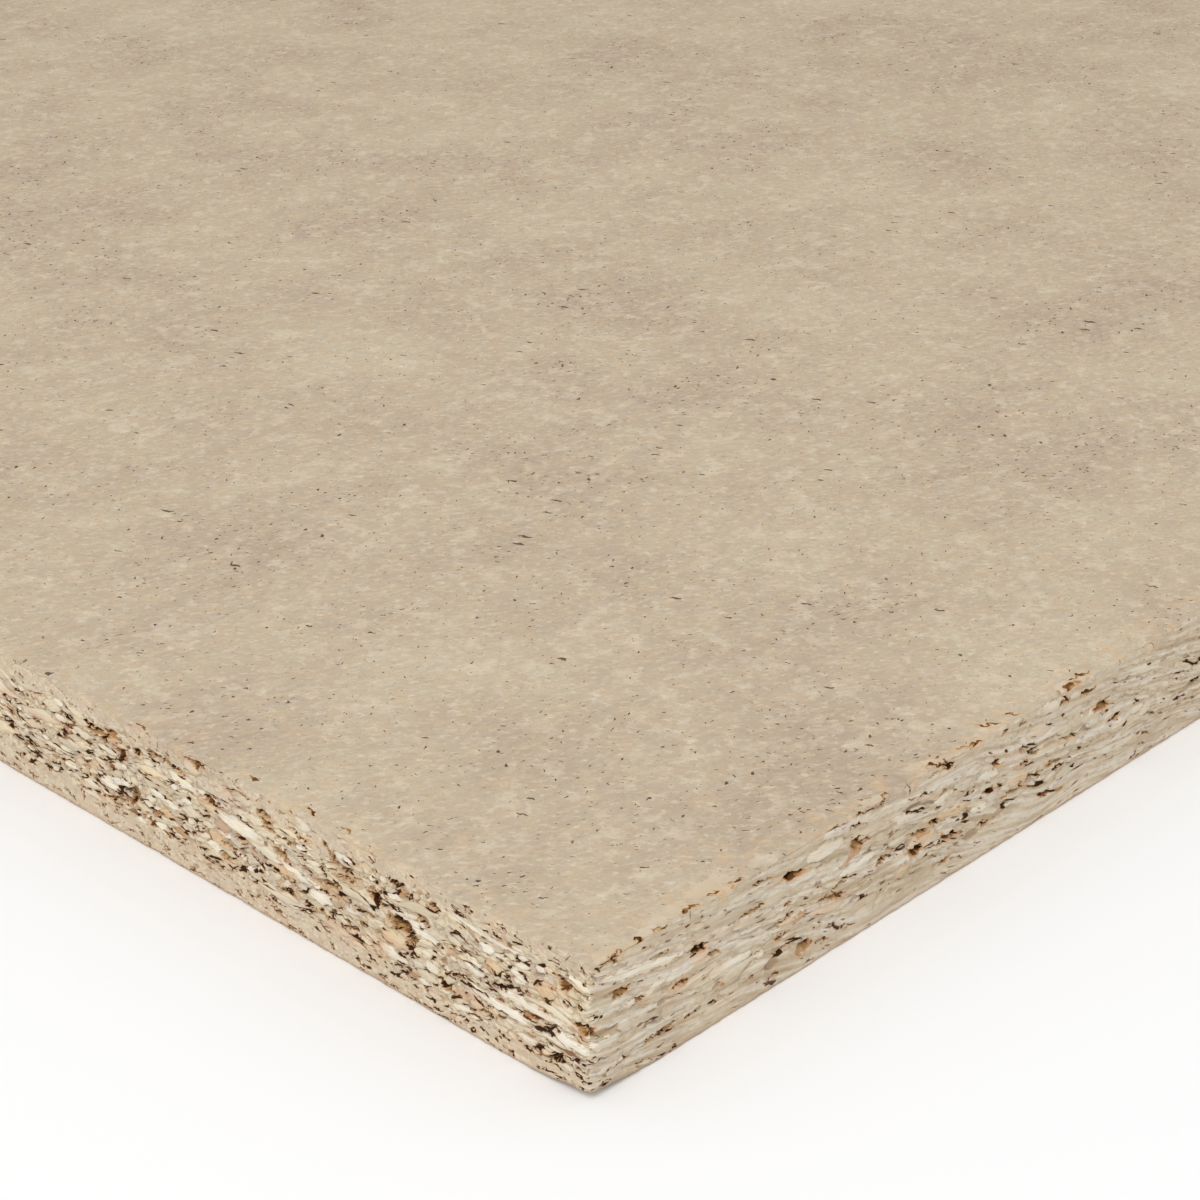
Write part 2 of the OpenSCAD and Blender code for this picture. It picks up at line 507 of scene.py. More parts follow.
def borders(g, place):
    """Where the sawn edge meets the faces: how far away, how worn, and which side it is."""
    inset_x, inset_y, inset = insets(g, place)
    z = g.parts(place)[2]
    below = g.low(z, g.sub(THICKNESS, z))
    into_edge = g.sub(below, inset)
    upper = g.over(z, THICKNESS / 2)
    worn = arris_wear(g, place)
    carved = g.sub(worn, g.mul(g.high(inset, below), 1.1))
    on_edge = g.smooth(g.add(into_edge, g.mul(worn, 0.8)), -0.15, 0.15)
    weave = g.swing(g.noise(place, (2.5, 2.5, 1.1)), 14.0)
    drift = g.swing(g.noise(place, (4.0, 4.0, 2.0), detail=3.0, roughness=0.6), 11.0)
    chips_show = g.smooth(g.add(into_edge, drift), -0.4, 1.6)
    return {
        "inset": inset,
        "upper": upper,
        "carved": g.high(g.mul(carved, 0.5), 0.0),
        "on_edge": on_edge,
        "chips_show": g.mix(upper, on_edge, chips_show),
        "bruised": g.smooth(g.high(inset_x, inset_y), 15.0, 55.0, 1.0, 0.0),
        "long_side": g.over(inset_x, inset_y),
        "long_look": g.over(g.sub(inset_x, inset_y), weave),
    }


def pockets(g, place):
    """Loose spots where the top chips are missing: how far inside, and how near the spot's top,
    where a shadow is painted under the overhang.
    """
    at = g.stretched(place, 15.0, 13.0, 5.5)
    spot = g.cells(at)
    kind, size, _ = g.parts(spot["Color"])
    reach = g.add(0.16, g.mul(size, 0.14))
    inside = g.smooth(g.sub(reach, spot["Distance"]), 0.0, 0.08)
    inside = g.mul(inside, g.math("LESS_THAN", kind, 0.38))
    height = g.vector("DOT_PRODUCT", g.vector("SUBTRACT", at, spot["Position"]), (0.0, 0.0, 1.0))
    return inside, g.smooth(height, 0.02, 0.12)


def core_share(g, place, bruised):
    """1 among the core's coarse chips and 0 in the fine outer layers."""
    height = g.parts(place)[2]
    loose = g.swing(g.noise(place, (9, 7, 3.2)), 6.0)
    depth = g.add(loose, g.mix(bruised, -1.5, 0.0))
    lower = g.smooth(g.add(height, depth), 1.4, 3.8)
    upper = g.smooth(g.add(g.sub(THICKNESS, height), depth), 0.8, 2.6)
    return g.mul(lower, upper)


def laid_place(g, place, long_look):
    """The place as the random chips see it: scaled and leaning on the long sides."""
    x, y, _ = g.parts(place)
    scaled = g.vector("MULTIPLY", place, LONG_SIDE_SCALE)
    rise = g.joined(0.0, 0.0, g.mul(g.add(x, y), LEAN))
    return g.mix_vector(long_look, place, g.vector("ADD", scaled, rise))


def random_chips(g, place, bent, core, long_look):
    """The particles and the layers of chips over them, with pockets where chips are missing."""
    wrinkle = centred_noise(g, place, (1.6, 1.6, 0.9), 2.0)

    def roughened(share):
        size = (0.9 * share, 0.9 * share, 0.45 * share)
        return g.vector("ADD", bent, g.vector("MULTIPLY", wrinkle, size))

    pocket, roof = pockets(g, roughened(2.5))
    pocket = g.mul(pocket, core, g.mix(long_look, 1.0, 0.35))
    found = dust_layer(g, g.stretched(roughened(1.0), 0.95, 0.8, 0.5))
    bits = found["tone"]
    presence = g.mul(core, g.mix(long_look, 1.0, 0.8))
    for number, layer in enumerate(CHIP_LAYERS):
        found = chip_layer(g, found, roughened(layer["ragged"]), presence, number, layer)
        presence = g.mul(core, g.sub(1.0, pocket))
    found.update(pocket=pocket, roof=roof, bits=bits)
    return found


def listed_marks(g, found, place, laid, long_side, zones):
    """Lays the listed chips over the random ones, and finds the listed pockets."""
    tear = centred_noise(g, place, (1.3, 1.3, 0.8), 3.0)

    def torn_by(size):
        moved = g.vector("ADD", place, g.vector("MULTIPLY", tear, size))
        return side_place(g, moved, long_side)

    slight, strong = torn_by((1.8, 1.8, 0.9)), torn_by((3.0, 3.0, 1.05))
    rims = {}
    for kind, grain, tone in LISTED_CHIPS:
        rims[kind], _ = listed_spots(g, slight, kind, zones)
        over = listed_chips(g, found, rims[kind], g.stretched(laid, *grain), tone)
        found = {**found, **over}
    torn, torn_height = listed_spots(g, strong, "pockets", zones)
    nearest = g.high(rims["tan"], rims["pale"], rims["rust"])
    found.update(tan=g.smooth(rims["tan"], -0.10, 0.10), listed=g.smooth(nearest, -0.02, 0.05))
    found.update(torn=g.add(torn, g.swing(found["bits"], 0.14)), torn_height=torn_height)
    return found


def crack_strength(g, found, place, bent, openness, border):
    """How open the cracks are, and the noise that breaks the shorter ones."""
    short = g.noise(bent, (2.0, 2.0, 0.7))
    long = g.noise(bent, (3.4, 3.4, 0.9), detail=1.0)
    height = g.parts(place)[2]
    open_up = g.add(g.mul(openness, 0.09), g.mul(found["pocket"], 0.06))
    open_up = g.sub(open_up, g.mul(border["long_look"], 0.07))
    open_up = g.add(open_up, g.smooth(height, 15.0, 4.0, -0.02, 0.015))
    strength = g.smooth(g.add(g.mix(found["long"], short, long), open_up), 0.56, 0.74)
    outside_core = g.mix(border["bruised"], 0.32, 0.9)
    return g.mul(strength, g.mix(found["core"], outside_core, 1.0)), short


def cracks(g, found, strength):
    """The dark lines between the chips, which are painted shade in the gaps, and the brown fringe
    beside them, partly painted soft shade.
    """
    past_gap = g.sub(found["rim"], g.mul(strength, 0.11))
    visible = g.smooth(strength, 0.02, 0.2)
    # The line is painted shade in the gap, joined with the painted contact shadow beside the chips.
    line = g.high(g.smooth(past_gap, 0.0, 0.04, 1.0, 0.0), found["shade"])
    crack = g.mul(line, visible, g.smooth(strength, 0.0, 0.5, 0.62, 1.0))
    return crack, g.mul(g.smooth(past_gap, 0.0, 0.22, 1.0, 0.0), visible)


def hollows(g, found, openness, long_look):
    """Where the particles between the chips have fallen out, and the low ground under the pockets'
    overhangs: real hollows in the relief, and painted shade in the colour.
    """
    low_ground = g.sub(1.0, found["coarse"])
    fallen = g.mul(low_ground, g.smooth(openness, 0.72, 0.84))
    # Painted shadow under the pockets' overhanging chips.
    under_roof = g.mul(low_ground, found["roof"], g.smooth(found["pocket"], 0.5, 1.0))
    return g.mul(g.high(fallen, under_roof), g.mix(long_look, 1.0, 0.5))


def relief_depth(g, found):
    """How deep the chips lie under the sheet's surface, in millimetres."""
    depth = g.add(g.mul(g.high(found["lift"], 0.0), 0.18), g.mul(found["groove"], 0.08))
    depth = g.add(depth, g.mul(found["shade"], 0.12))
    depth = g.add(depth, g.add(g.mul(found["hollow"], 0.5), g.mul(found["pocket"], 0.55)))
    return g.add(depth, g.mul(g.smooth(found["torn"], -0.05, 0.20), 0.7))


def chip_pattern(g, place, border, zones):
    """The pressed chips at a place in the sheet, in millimetres: a dictionary of sockets."""
    long_look = border["long_look"]
    core = core_share(g, place, border["bruised"])
    laid = laid_place(g, place, long_look)
    sway = centred_noise(g, laid, (14, 12, 7), 1.0)
    bent = g.vector("ADD", laid, g.vector("MULTIPLY", sway, (5.0, 5.0, 4.0)))
    found = random_chips(g, laid, bent, core, long_look)
    found = listed_marks(g, found, place, laid, border["long_side"], zones)
    found.update(core=core, bent=bent)
    openness = g.noise(laid, (4.0, 3.2, 1.3))
    openness = g.mul(g.smooth(openness, 0.42, 0.72), g.mix(core, 0.5, 1.0))
    strength, broken = crack_strength(g, found, place, bent, openness, border)
    crack, fringe = cracks(g, found, strength)
    hollow = hollows(g, found, openness, long_look)
    # Nearness to a chip's rim: a real groove in the relief, and painted soft shade in the colour.
    groove = g.smooth(found["rim"], 0.0, 0.2, 1.0, 0.0)
    found.update(crack=crack, fringe=fringe, hollow=hollow, groove=groove, broken=broken)
    found["relief"] = relief_depth(g, found)
    return found


# ---- sheet mesh
# The mesh is built in millimetres and brought to metres at the end.
def side_stations(length, fine_start, fine_end):
    """Places along a side's straight part, close together at an end that is fine."""
    straight = length - 2 * CORNER_RADIUS
    fine = list(np.arange(0.0, FINE_REACH, FINE_STEP))
    places = fine if fine_start else [0.0]
    stop = straight - FINE_REACH if fine_end else straight
    count = max(2, round((stop - places[-1]) / COARSE_STEP))
    places = places + list(np.linspace(places[-1], stop, count + 1)[1:])
    if fine_end:
        places = places[:-1] + [straight - place for place in reversed(fine)]
    return np.array(places) / straight


def sheet_columns():
    """Columns of the two bands: the fine one round the nearest corner, and the rest."""
    sides = [(LENGTH, True, False), (WIDTH, False, False), (LENGTH, False, False),
             (WIDTH, False, True)]
    columns = []
    for side, (length, fine_start, fine_end) in enumerate(sides):
        steps = FINE_ARC_STEPS if side == 0 else COARSE_ARC_STEPS
        columns += [("arc", side, step / steps) for step in range(steps)]
        places = side_stations(length, fine_start, fine_end)
        columns += [("side", side, place) for place in places]
    fine_count = len(np.arange(0.0, FINE_REACH, FINE_STEP))
    columns = columns[-fine_count:] + columns[:-fine_count]
    split = 2 * fine_count + FINE_ARC_STEPS
    return columns[:split], columns[split - 1:] + columns[:1]


def ring_points(columns, inset):
    """The outline drawn inset from the sheet's edge, and the way inward at each column."""
    corners = [(-1, -1), (1, -1), (1, 1), (-1, 1)]
    radius = CORNER_RADIUS + 0.5 * inset
    start = inset + radius
    points = np.zeros((len(columns), 2))
    inward = np.zeros((len(columns), 2))
    for index, (form, side, place) in enumerate(columns):
        corner = np.array(corners[side]) * (LENGTH / 2, WIDTH / 2)
        length = LENGTH if side % 2 == 0 else WIDTH
        turn = side * math.pi / 2
        along = np.array((math.cos(turn), math.sin(turn)))
        into = np.array((-math.sin(turn), math.cos(turn)))
        if form == "side":
            at = start + place * (length - 2 * start)
            points[index] = corner + along * at + into * inset
            inward[index] = into
        else:
            angle = turn + math.pi + place * math.pi / 2
            away = np.array((math.cos(angle), math.sin(angle)))
            points[index] = corner + (along + into) * start + away * radius
            inward[index] = -away
    return points, inward


def section_rows():
    """Rows from the upper face to the underside: inset, height, share inward, share up."""
    rows = [(inset, THICKNESS, 0.0, -1.0) for inset in TOP_INSETS]
    quarter = [math.pi / 2 * step / ARRIS_STEPS for step in range(ARRIS_STEPS + 1)]
    arris = []
    for angle in quarter:
        drop = ARRIS_RADIUS * (1 - math.cos(angle))
        arris.append((ARRIS_RADIUS * (1 - math.sin(angle)), drop, math.sin(angle), math.cos(angle)))
    rows += [(inset, THICKNESS - drop, inward, -up) for inset, drop, inward, up in arris]
    straight = THICKNESS - 2 * ARRIS_RADIUS
    count = round(straight / FINE_STEP)
    for step in range(1, count):
        rows.append((0.0, THICKNESS - ARRIS_RADIUS - straight * step / count, 1.0, 0.0))
    rows += reversed(arris)
    rows += [(inset, 0.0, 0.0, 1.0) for inset in BOTTOM_INSETS]
    return rows


def grid_mesh(name, places):
    """A mesh of quads through a grid of points."""
    rows, columns, _ = places.shape
    index = np.arange(rows * columns).reshape(rows, columns)
    quads = np.stack([index[:-1, :-1], index[1:, :-1], index[1:, 1:], index[:-1, 1:]], axis=-1)
    mesh = bpy.data.meshes.new(name)
    mesh.vertices.add(places.size // 3)
    mesh.vertices.foreach_set("co", places.ravel())
    mesh.loops.add(quads.size)
    mesh.loops.foreach_set("vertex_index", quads.ravel())
    mesh.polygons.add(quads.size // 4)
    mesh.polygons.foreach_set("loop_start", np.arange(0, quads.size, 4))
    mesh.update(calc_edges=True)
    return mesh


def linked(name, data):
    made = bpy.data.objects.new(name, data)
    bpy.context.scene.collection.objects.link(made)
    return made


def relief_nodes():
    """Geometry nodes that store the carving depth, in millimetres, at every point."""
    tree = bpy.data.node_groups.new("chip_relief", "GeometryNodeTree")
    tree.interface.new_socket("Geometry", in_out="INPUT", socket_type="NodeSocketGeometry")
    tree.interface.new_socket("Geometry", in_out="OUTPUT", socket_type="NodeSocketGeometry")
    g = Graph(tree)
    start = g.node("NodeGroupInput")
    position = g.node("GeometryNodeInputPosition")
    border = borders(g, position.outputs[0])
    pattern = chip_pattern(g, position.outputs[0], border, EVERYWHERE)
    relief = g.mul(pattern["relief"], border["on_edge"])
    relief = g.add(relief, border["carved"])
    store = g.node("GeometryNodeStoreNamedAttribute", data_type="FLOAT", domain="POINT")
    g.feed(store.inputs["Geometry"], start.outputs[0])
    store.inputs["Name"].default_value = "relief"
    g.feed(store.inputs["Value"], relief)
    g.node("NodeGroupOutput", store.outputs[0])
    return tree


def applied(made):
    """The object's mesh with its modifiers applied."""
    graph = bpy.context.evaluated_depsgraph_get()
    return bpy.data.meshes.new_from_object(made.evaluated_get(graph))


def carve(mesh, places, ways, relief):
    """Moves the mesh's points inward by the relief and keeps where they were."""
    rest = places.reshape(-1, 3)
    moved = rest + ways.reshape(-1, 3) * relief[:, None]
    near = np.hypot(rest[:, 0] + LENGTH / 2, rest[:, 1] + WIDTH / 2)
    lowness = np.clip(1 - rest[:, 2] / KNOCK_HEIGHT, 0, 1)
    moved[:, 2] += KNOCK_DEPTH * np.exp(-(near / KNOCK_REACH) ** 2) * lowness
    mesh.vertices.foreach_set("co", moved.ravel())
    layer = mesh.attributes.new("rest_place", "FLOAT_VECTOR", "POINT")
    layer.data.foreach_set("vector", rest.ravel())


def thinned(made, rows, columns, triangles):
    """The band's mesh brought down to so many triangles, its two ends kept as they are."""
    inner = np.arange(rows * columns).reshape(rows, columns)[:, 1:-1]
    made.vertex_groups.new(name="free").add(inner.ravel().tolist(), 1.0, "REPLACE")
    modifier = made.modifiers.new("thin", "DECIMATE")
    modifier.ratio = triangles / (2 * (rows - 1) * (columns - 1))
    modifier.vertex_group = "free"
    return applied(made)


def keep_inside(mesh):
    """Moves back what the thinning pushed out of the sheet's box."""
    points = np.zeros(len(mesh.vertices) * 3)
    mesh.vertices.foreach_get("co", points)
    points = points.reshape(-1, 3)
    half = (LENGTH / 2, WIDTH / 2)
    points[:, :2] = np.clip(points[:, :2], (-half[0], -half[1]), half)
    points[:, 2] = np.clip(points[:, 2], 0, THICKNESS)
    mesh.vertices.foreach_set("co", points.ravel())


def carved_band(columns, relief_tree, triangles):
    """One band of the sheet's edge, from the upper face round to the underside."""
    places, ways = [], []
    for inset, height, inward_share, up_share in section_rows():
        points, inward = ring_points(columns, inset)
        places.append(np.column_stack([points, np.full(len(points), height)]))
        ways.append(np.column_stack([inward * inward_share, np.full(len(points), up_share)]))
    places, ways = np.array(places), np.array(ways)
    made = linked("band", grid_mesh("band", places))
    made.modifiers.new("relief", "NODES").node_group = relief_tree
    relief = np.zeros(places.size // 3, dtype=np.float32)
    applied(made).attributes["relief"].data.foreach_get("value", relief)
    made.modifiers.clear()
    carve(made.data, places, ways, relief)
    mesh = thinned(made, places.shape[0], places.shape[1], triangles)
    keep_inside(mesh)
    bpy.data.objects.remove(made)
    return mesh


def spread_points(insets):
    """Points inside a face: rectangles one within another, wider apart towards the middle."""
    found = []
    for inset, gap in zip(insets, np.diff(insets)):
        x, y = LENGTH / 2 - inset, WIDTH / 2 - inset
        across = np.linspace(-x, x, max(2, round(2 * x / gap) + 1))
        up = np.linspace(-y, y, max(2, round(2 * y / gap) + 1))[1:-1]
        for side in (-1, 1):
            found += [(px, side * y) for px in across]
            found += [(side * x, py) for py in up]
    return found


def close_face(bm, height):
    """Fills the open ring at this height with triangles over spread-out points."""
    rim = [e for e in bm.edges if e.is_boundary and abs(e.verts[0].co.z - height) < THICKNESS / 2]
    rim_verts = list({v for e in rim for v in e.verts})
    number = {v: i for i, v in enumerate(rim_verts)}
    flat = [Vector(v.co[:2]) for v in rim_verts] + [Vector(p) for p in spread_points(CAP_INSETS)]
    edges = [(number[e.verts[0]], number[e.verts[1]]) for e in rim]
    points, _, faces, origins, _, _ = delaunay_2d_cdt(flat, edges, [], 1, 1e-5)
    rest = bm.verts.layers.float_vector["rest_place"]
    verts = []
    for point, origin in zip(points, origins):
        if origin and origin[0] < len(rim_verts):
            verts.append(rim_verts[origin[0]])
            continue
        made = bm.verts.new((point.x, point.y, height))
        made[rest] = made.co
        verts.append(made)
    for face in faces:
        made = bm.faces.new([verts[i] for i in face])
        made.material_index = FACE_SLOT


def edge_slot(centre):
    """Which of the edge's materials a face with this centre has."""
    x, y, z = centre
    if LENGTH / 2 - abs(x) > WIDTH / 2 - abs(y):
        side, along = "long", x + LENGTH / 2
    else:
        side, along = "short", y + WIDTH / 2
    zone = next(i for i, (name, start, end) in enumerate(ZONES) if name == side and along < end)
    return 2 * zone + int(not MIDDLE_FROM < z < MIDDLE_TO)


def sheet_mesh():
    """The whole sheet as one closed mesh, in metres."""
    tree = relief_nodes()
    bm = bmesh.new()
    for columns, triangles in zip(sheet_columns(), BAND_TRIANGLES):
        bm.from_mesh(carved_band(columns, tree, triangles))
    bmesh.ops.remove_doubles(bm, verts=bm.verts, dist=0.001)
    for face in bm.faces:
        face.material_index = edge_slot(face.calc_center_median())
    close_face(bm, THICKNESS)
    close_face(bm, 0.0)
    bmesh.ops.recalc_face_normals(bm, faces=bm.faces)
    bmesh.ops.scale(bm, vec=(MM, MM, MM), verts=bm.verts)
    bmesh.ops.translate(bm, vec=(0, 0, LOW.z), verts=bm.verts)
    mesh = bpy.data.meshes.new("chipboard_relief")
    bm.to_mesh(mesh)
    bm.free()
    mesh.shade_smooth()
    return mesh


# ---- materials
# Tones: a place from 0 to 1, and the red, green and blue seen there, 0 to 255.
CHIP_TONES = [
    (0.00, 208, 194, 168), (0.12, 230, 219, 196), (0.26, 216, 202, 176), (0.40, 238, 230, 212),
    (0.52, 222, 209, 183), (0.68, 230, 214, 182), (0.80, 204, 193, 174), (0.895, 216, 188, 152),
    (0.955, 190, 154, 118), (0.983, 184, 126, 76), (0.995, 128, 88, 60),
]
DUST_TONES = [
    (0.00, 210, 194, 168), (0.16, 230, 218, 194), (0.36, 204, 186, 160), (0.54, 224, 208, 180),
    (0.70, 192, 173, 147), (0.82, 206, 176, 142), (0.91, 170, 132, 98), (0.97, 122, 80, 52),
]
TORN_TONES = [
    (0.00, 146, 102, 60), (0.30, 176, 136, 88), (0.60, 112, 74, 40), (0.80, 198, 164, 118),
]
SMEAR_TONES = [
    (0.32, 178, 160, 134), (0.48, 199, 184, 161), (0.62, 219, 211, 197),
]
FACE_TONES = [
    (0.32, 181, 163, 143), (0.50, 192, 176, 153), (0.68, 199, 185, 161),
]
# Colours of the sawn edge.
FIBRE = linear(160, 132, 96)
GREYISH = linear(206, 198, 184)
YELLOWISH = linear(226, 216, 184)
PINKISH = linear(214, 174, 140)
OUTER_LAYER = linear(218, 203, 180)
SCRATCH = linear(160, 136, 104)
DASH = linear(112, 72, 38)
# Painted soft shade on the chips' rims, and painted contact shadow beside the chips.
GROOVE_SHADE = linear(146, 116, 84)
SHADE = linear(122, 84, 50)
FOOT = linear(178, 128, 98)
HALO = linear(202, 160, 116)
# Brown beside the cracks and round the torn pockets: partly the chips' own brown, partly painted
# soft shade.
FRINGE_AND_SHADE = linear(164, 106, 56)
# The pockets' brown: resin and saw-burn colour, and painted shade of the recess.
POCKET_BROWN_AND_SHADE = linear(196, 152, 108)
# Painted shade in the hollows where particles have fallen out.
HOLLOW_SHADE = linear(84, 50, 26)
# Painted shade in the cracks, and painted shadow under the pockets' overhangs.
CRACK_SHADE = linear(40, 20, 8)
# Colours of the sanded faces.
WARM_PATCH = linear(206, 182, 148)
PALE_PATCH = linear(222, 209, 187)
GREY_PATCH = linear(186, 172, 154)
DARK_FIBRE = linear(172, 150, 124)
PALE_FIBRE = linear(228, 215, 190)
GRAIN = linear(158, 134, 108)
PALE_STREAK = linear(230, 217, 194)
FACE_RIM = linear(214, 180, 138)
SPECK = linear(58, 36, 20)
# The faces' streaks run across the sheet's corner, turned by so many degrees.
STREAK_TURN = -45
# Specks of the sanded faces. Turn is degrees, length is a cell's, in millimetres, and flat is its
# width as a share of it; a higher power makes fewer large specks, and size is the largest one's.
SPECKS = [
    {"turn": 58, "length": 1.5, "flat": 0.36, "power": 8, "size": 0.21},
    {"turn": 20, "length": 2.2, "flat": 0.34, "power": 8, "size": 0.19},
    {"turn": -35, "length": 3.0, "flat": 0.40, "power": 10, "size": 0.17},
    {"turn": 65, "length": 9.0, "flat": 0.30, "power": 10, "size": 0.12},
]


def new_material(name):
    """A material with an empty shader, its formulas and the place in the sheet."""
    material = bpy.data.materials.new(name)
    material.use_nodes = True
    material.node_tree.nodes.clear()
    g = Graph(material.node_tree)
    shader = g.node("ShaderNodeBsdfPrincipled")
    g.node("ShaderNodeOutputMaterial", shader.outputs[0])
    shader.inputs["Roughness"].default_value = 0.85
    shader.inputs["Specular IOR Level"].default_value = 0.02
    place = g.node("ShaderNodeAttribute", attribute_name="rest_place").outputs["Vector"]
    return material, g, shader, place


def face_material():
    material, g, shader, _ = new_material("sanded_face")
    g.feed(shader.inputs["Base Color"], sanded_face(g))
    return material


def chip_colour(g, pattern, place):
    """The colour of the chips and of the particles between them."""
    chips = g.ramp(pattern["tone"], CHIP_TONES, "CONSTANT")
    dust = g.ramp(pattern["tone"], DUST_TONES, "CONSTANT")
    colour = g.blend(pattern["coarse"], dust, chips)
    fibre = g.noise(pattern["grain"], (0.5, 0.22, 0.12))
    zone = g.noise(place, (7, 7, 2.6), detail=1.0, output="Color")
    greyish, yellowish, pinkish = g.parts(zone)
    colour = g.tinted(colour, [
        (fibre, 0.40, 0.75, 0.38, FIBRE),
        (greyish, 0.48, 0.72, 0.5, GREYISH),
        (yellowish, 0.52, 0.72, 0.35, YELLOWISH),
        (pinkish, 0.56, 0.72, 0.5, PINKISH),
    ])
    return g.blend(g.mul(g.sub(1.0, pattern["core"]), 0.55), colour, OUTER_LAYER)


def smeared(g, edge, pattern, on_long):
    """The long sides' look: chips smeared into streaks by the saw, with small dark dashes."""
    streak = g.noise(pattern["bent"], (9.0, 9.0, 0.45), output="Color")
    thick, light, _ = g.parts(streak)
    smear = g.mul(on_long, g.smooth(thick, 0.34, 0.62, 0.40, 0.88))
    smear = g.mul(smear, g.mix(pattern["listed"], 1.0, 0.5))
    colour = g.blend(smear, edge, g.ramp(light, SMEAR_TONES))
    scratch = g.noise(pattern["bent"], (1.3, 1.3, 0.22))
    scratch = g.mul(smear, g.smooth(scratch, 0.48, 0.72, 0.0, 0.55))
    colour = g.blend(scratch, colour, SCRATCH)
    dash = g.noise(pattern["bent"], (1.5, 1.5, 0.34))
    dash = g.mul(on_long, g.smooth(dash, 0.66, 0.71, 0.0, 0.75))
    return g.blend(dash, colour, DASH)


def shaded_rims(g, edge, pattern, on_long):
    """Paints soft shade on the chips' rims and a painted contact shadow on the ground beside them,
    less on the long sides.
    """
    soft = g.mix(on_long, 1.0, 0.25)
    edge = g.blend(g.mul(pattern["groove"], 0.20, soft), edge, GROOVE_SHADE)
    return g.blend(g.mul(pattern["shade"], 0.34, soft), edge, SHADE)


def opened(g, colour, pattern, sawn, near, on_long):
    """Adds the pockets and the cracks, with brown floors and fringes, and painted shade in the
    cracks and hollows and under the overhangs.
    """
    halo = g.smooth(pattern["torn"], -0.4, 0.0, 0.0, 0.45)
    halo = g.mul(halo, g.smooth(pattern["broken"], 0.3, 0.5))
    halo = g.mul(halo, g.mix(on_long, 1.0, 1.6))
    colour = g.blend(g.mul(halo, near), colour, HALO)
    # The fringe beside cracks and torn pockets is partly painted soft shade.
    torn_rim = g.mul(g.smooth(pattern["torn"], -0.10, 0.0, 0.0, 0.5), near)
    fringe = g.high(g.mul(pattern["fringe"], 0.6, sawn), torn_rim)
    colour = g.blend(fringe, colour, FRINGE_AND_SHADE)
    # Pockets turn brown, partly as painted shade of the recess.
    colour = g.blend(g.mul(pattern["pocket"], 0.4, sawn), colour, POCKET_BROWN_AND_SHADE)
    floor = g.ramp(pattern["bits"], TORN_TONES, "CONSTANT")
    # The hollows: the floor's brown darkened as painted shade.
    deep = g.blend(0.55, floor, HOLLOW_SHADE)
    colour = g.blend(g.mul(pattern["hollow"], 0.85, sawn), colour, deep)
    torn = g.mul(g.smooth(pattern["torn"], 0.0, 0.04), near)
    colour = g.blend(torn, colour, floor)
    # A painted shadow under the torn pockets' overhanging chips, towards their tops.
    roof = g.add(pattern["torn_height"], g.swing(pattern["broken"], 2.4))
    roof = g.mul(g.smooth(roof, -0.55, 0.35, 0.0, 0.95), g.mix(sawn, 0.6, 1.0))
    # The dark crack colour paints shade in the cracks and the shadow under the overhangs.
    crack = g.mul(pattern["crack"], g.mul(sawn, 0.95))
    return g.blend(g.high(crack, g.mul(torn, roof)), colour, CRACK_SHADE)


def edge_material(name, zone, beside_face):
    """The pressed chips of the sawn edge, in one zone of the sides."""
    material, g, shader, place = new_material(name)
    border = borders(g, place)
    pattern = chip_pattern(g, place, border, [zone])
    sawn, on_long = border["on_edge"], border["long_look"]
    colour = chip_colour(g, pattern, place)
    colour = smeared(g, colour, pattern, on_long)
    colour = shaded_rims(g, colour, pattern, on_long)
    near = g.high(sawn, g.mul(g.smooth(border["inset"], 6.0, 5.0), border["upper"]))
    if beside_face:
        torn_face = g.mul(pattern["tan"], near, 0.7)
        chips_show = g.high(border["chips_show"], torn_face)
        colour = g.blend(chips_show, sanded_face(g), colour)
    foot = g.smooth(g.parts(place)[2], 0.2, 0.7, 0.3, 0.0)
    colour = g.blend(g.mul(foot, sawn), colour, FOOT)
    g.feed(shader.inputs["Base Color"], opened(g, colour, pattern, sawn, near, on_long))
    return material


def edge_materials():
    """The edge's materials: for each zone one for its middle and one for beside the faces."""
    first = ZONES[0]
    middle = edge_material("sawn_edge", first, beside_face=False)
    beside = edge_material("sawn_edge_beside_face", first, beside_face=True)
    made = [middle, beside]
    for zone in ZONES[1:]:
        groups = {listed: spots_group("ShaderNodeTree", listed, zone) for listed in LISTED}
        for material in (middle.copy(), beside.copy()):
            for node in material.node_tree.nodes:
                if node.label in groups:
                    node.node_tree = groups[node.label]
            made.append(material)
    return made


def flat_chips(g, place, turn, length, width):
    """Random numbers of chips that lie in the face, turned one way."""
    return g.cells(g.stretched(g.turned(place, turn), length, width, 1.0), dimensions="2D")


def face_particles(g, at, cloud, warm, pale, grey):
    """The colour of the faces' particles: soft patches, fibres and pale streaks."""
    across = g.turned(at, STREAK_TURN)
    grain = g.noise(across, (0.3, 0.5, 0.3))
    bright = g.noise(across, (0.7, 1.5, 0.3))
    dark_fibre = g.parts(flat_chips(g, at, 50, 1.7, 0.5)["Color"])[0]
    pale_fibre = g.parts(flat_chips(g, at, 15, 1.4, 0.45)["Color"])[1]
    return g.tinted(g.ramp(cloud, FACE_TONES), [
        (warm, 0.45, 0.72, 0.45, WARM_PATCH),
        (pale, 0.50, 0.70, 0.42, PALE_PATCH),
        (grey, 0.50, 0.70, 0.42, GREY_PATCH),
        (dark_fibre, 0.6, 1.0, 0.18, DARK_FIBRE),
        (pale_fibre, 0.6, 1.0, 0.20, PALE_FIBRE),
        (grain, 0.42, 0.75, 0.24, GRAIN),
        (bright, 0.54, 0.72, 0.40, PALE_STREAK),
    ])


